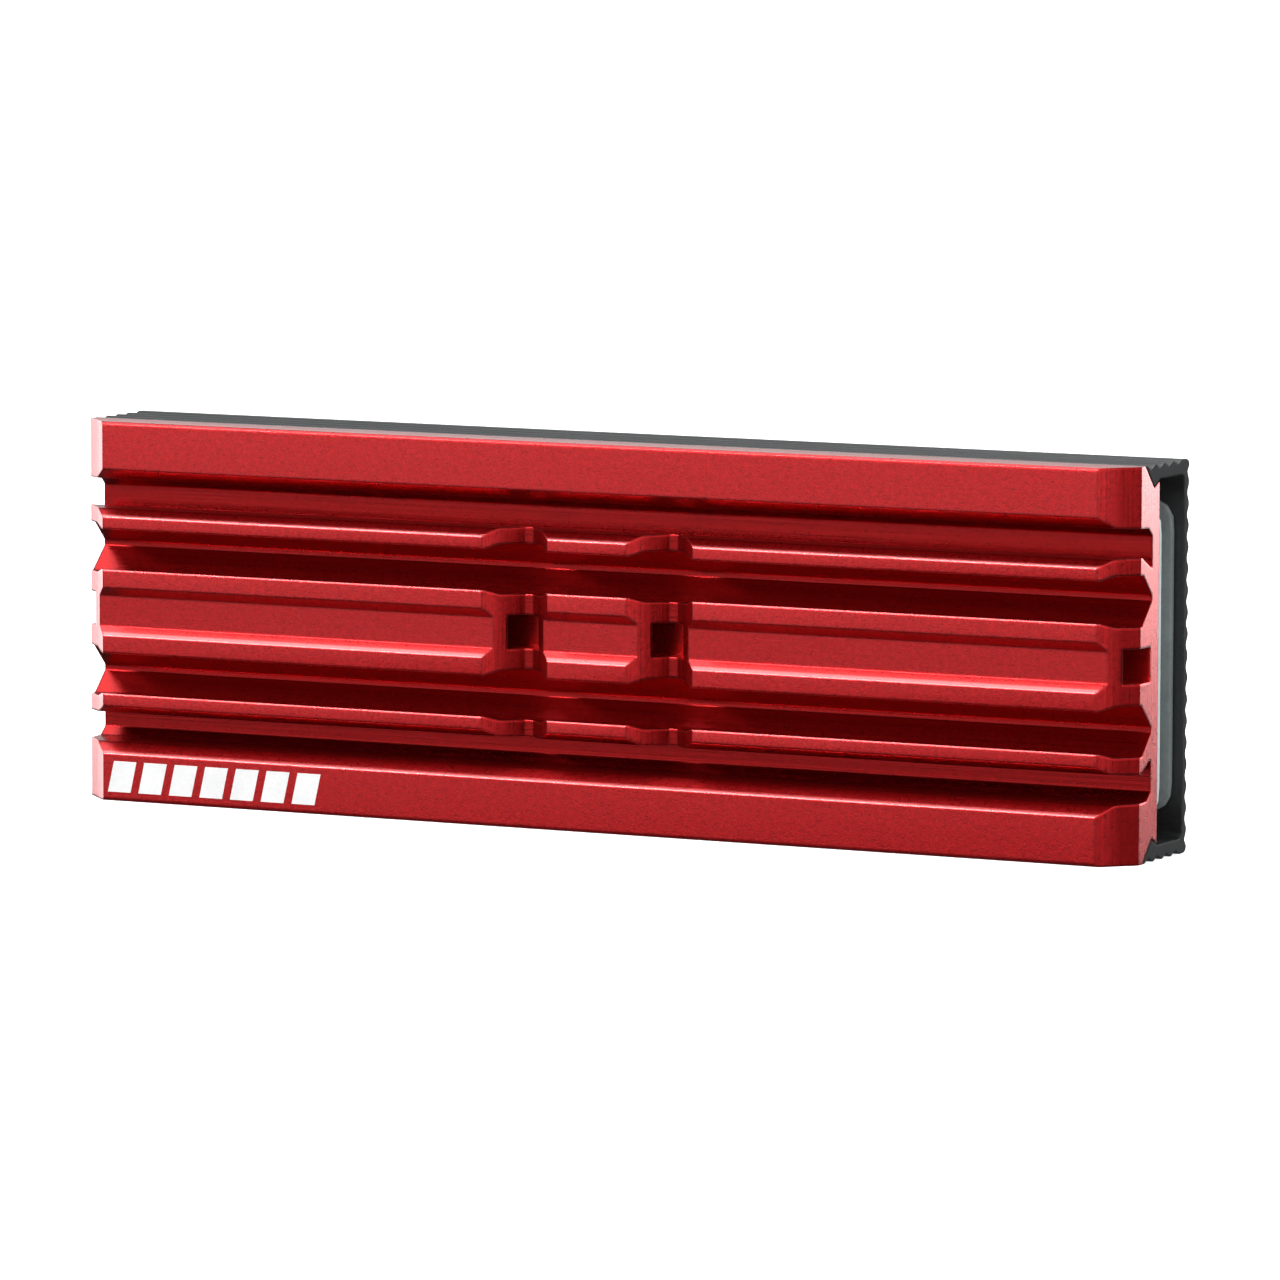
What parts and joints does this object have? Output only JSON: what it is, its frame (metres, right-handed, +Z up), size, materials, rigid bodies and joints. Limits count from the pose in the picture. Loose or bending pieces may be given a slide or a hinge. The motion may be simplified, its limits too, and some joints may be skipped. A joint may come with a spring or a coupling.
{
  "type": "solid state drive",
  "caption": "M.2 solid state drive in a finned aluminium heatsink casing: a finned upper half, a slide-on ribbed tray, thermal pads and the drive board between them.",
  "frame": {"origin": "centre of the bounding box in X and Y, at the long edge that it stands on", "axes": "+X along the casing towards the end away from the board's contacts, -Y the way the fins face, +Z up across the casing's width"},
  "size_m": [0.074, 0.0094, 0.0245],
  "materials": {
    "red_anodised": "bead-blasted and anodised, satin",
    "black_anodised": "anodised, satin",
    "pale_pad": "soft thermal pad, matte",
    "grey_pad": "soft thermal pad, matte",
    "laminate": "solder mask on glass laminate",
    "gold_plating": "plated, smooth",
    "nickel": "nickel plated, satin",
    "mould_compound": "moulded, fine matte",
    "ferrite": "fired, matte",
    "dielectric": "fired, satin",
    "label_film": "blank film, satin"
  },
  "bodies": {
    "heatsink_body": {"heatsink": "red_anodised", "upper_pad": "pale_pad"},
    "tray_body": {"tray": "black_anodised", "lower_pad": "grey_pad"},
    "drive_body": {"drive_board": "laminate", "contacts_long_front": "gold_plating", "contacts_short_front": "gold_plating", "contacts_long_back": "gold_plating", "contacts_short_back": "gold_plating", "screw_pad_front": "gold_plating", "screw_pad_back": "gold_plating", "flash_memory_1": "mould_compound", "flash_memory_2": "mould_compound", "buffer_memory": "mould_compound", "controller": "mould_compound", "controller_lid": "nickel", "power_chip": "mould_compound", "load_switch": "mould_compound", "crystal": "nickel", "inductor_1": "ferrite", "inductor_2": "ferrite", "inductor_3": "ferrite", "capacitor_1": "dielectric", "capacitor_2": "dielectric", "capacitor_3": "dielectric", "capacitor_4": "dielectric", "capacitor_5": "dielectric", "capacitor_6": "dielectric", "resistor_1": "mould_compound", "resistor_2": "mould_compound", "resistor_3": "mould_compound", "resistor_4": "mould_compound", "back_capacitor_1": "dielectric", "back_capacitor_2": "dielectric", "back_capacitor_3": "dielectric", "back_capacitor_4": "dielectric", "back_label": "label_film"}
  },
  "joints": [
    {"name": "tray_slide", "type": "slide", "parent": "heatsink_body", "child": "tray_body", "axis": [1, 0, 0], "range_m": [-0.075, 0.075]},
    {"name": "drive_slide", "type": "slide", "parent": "heatsink_body", "child": "drive_body", "axis": [-1, 0, 0], "range_m": [-0.069, 0.069]}
  ]
}
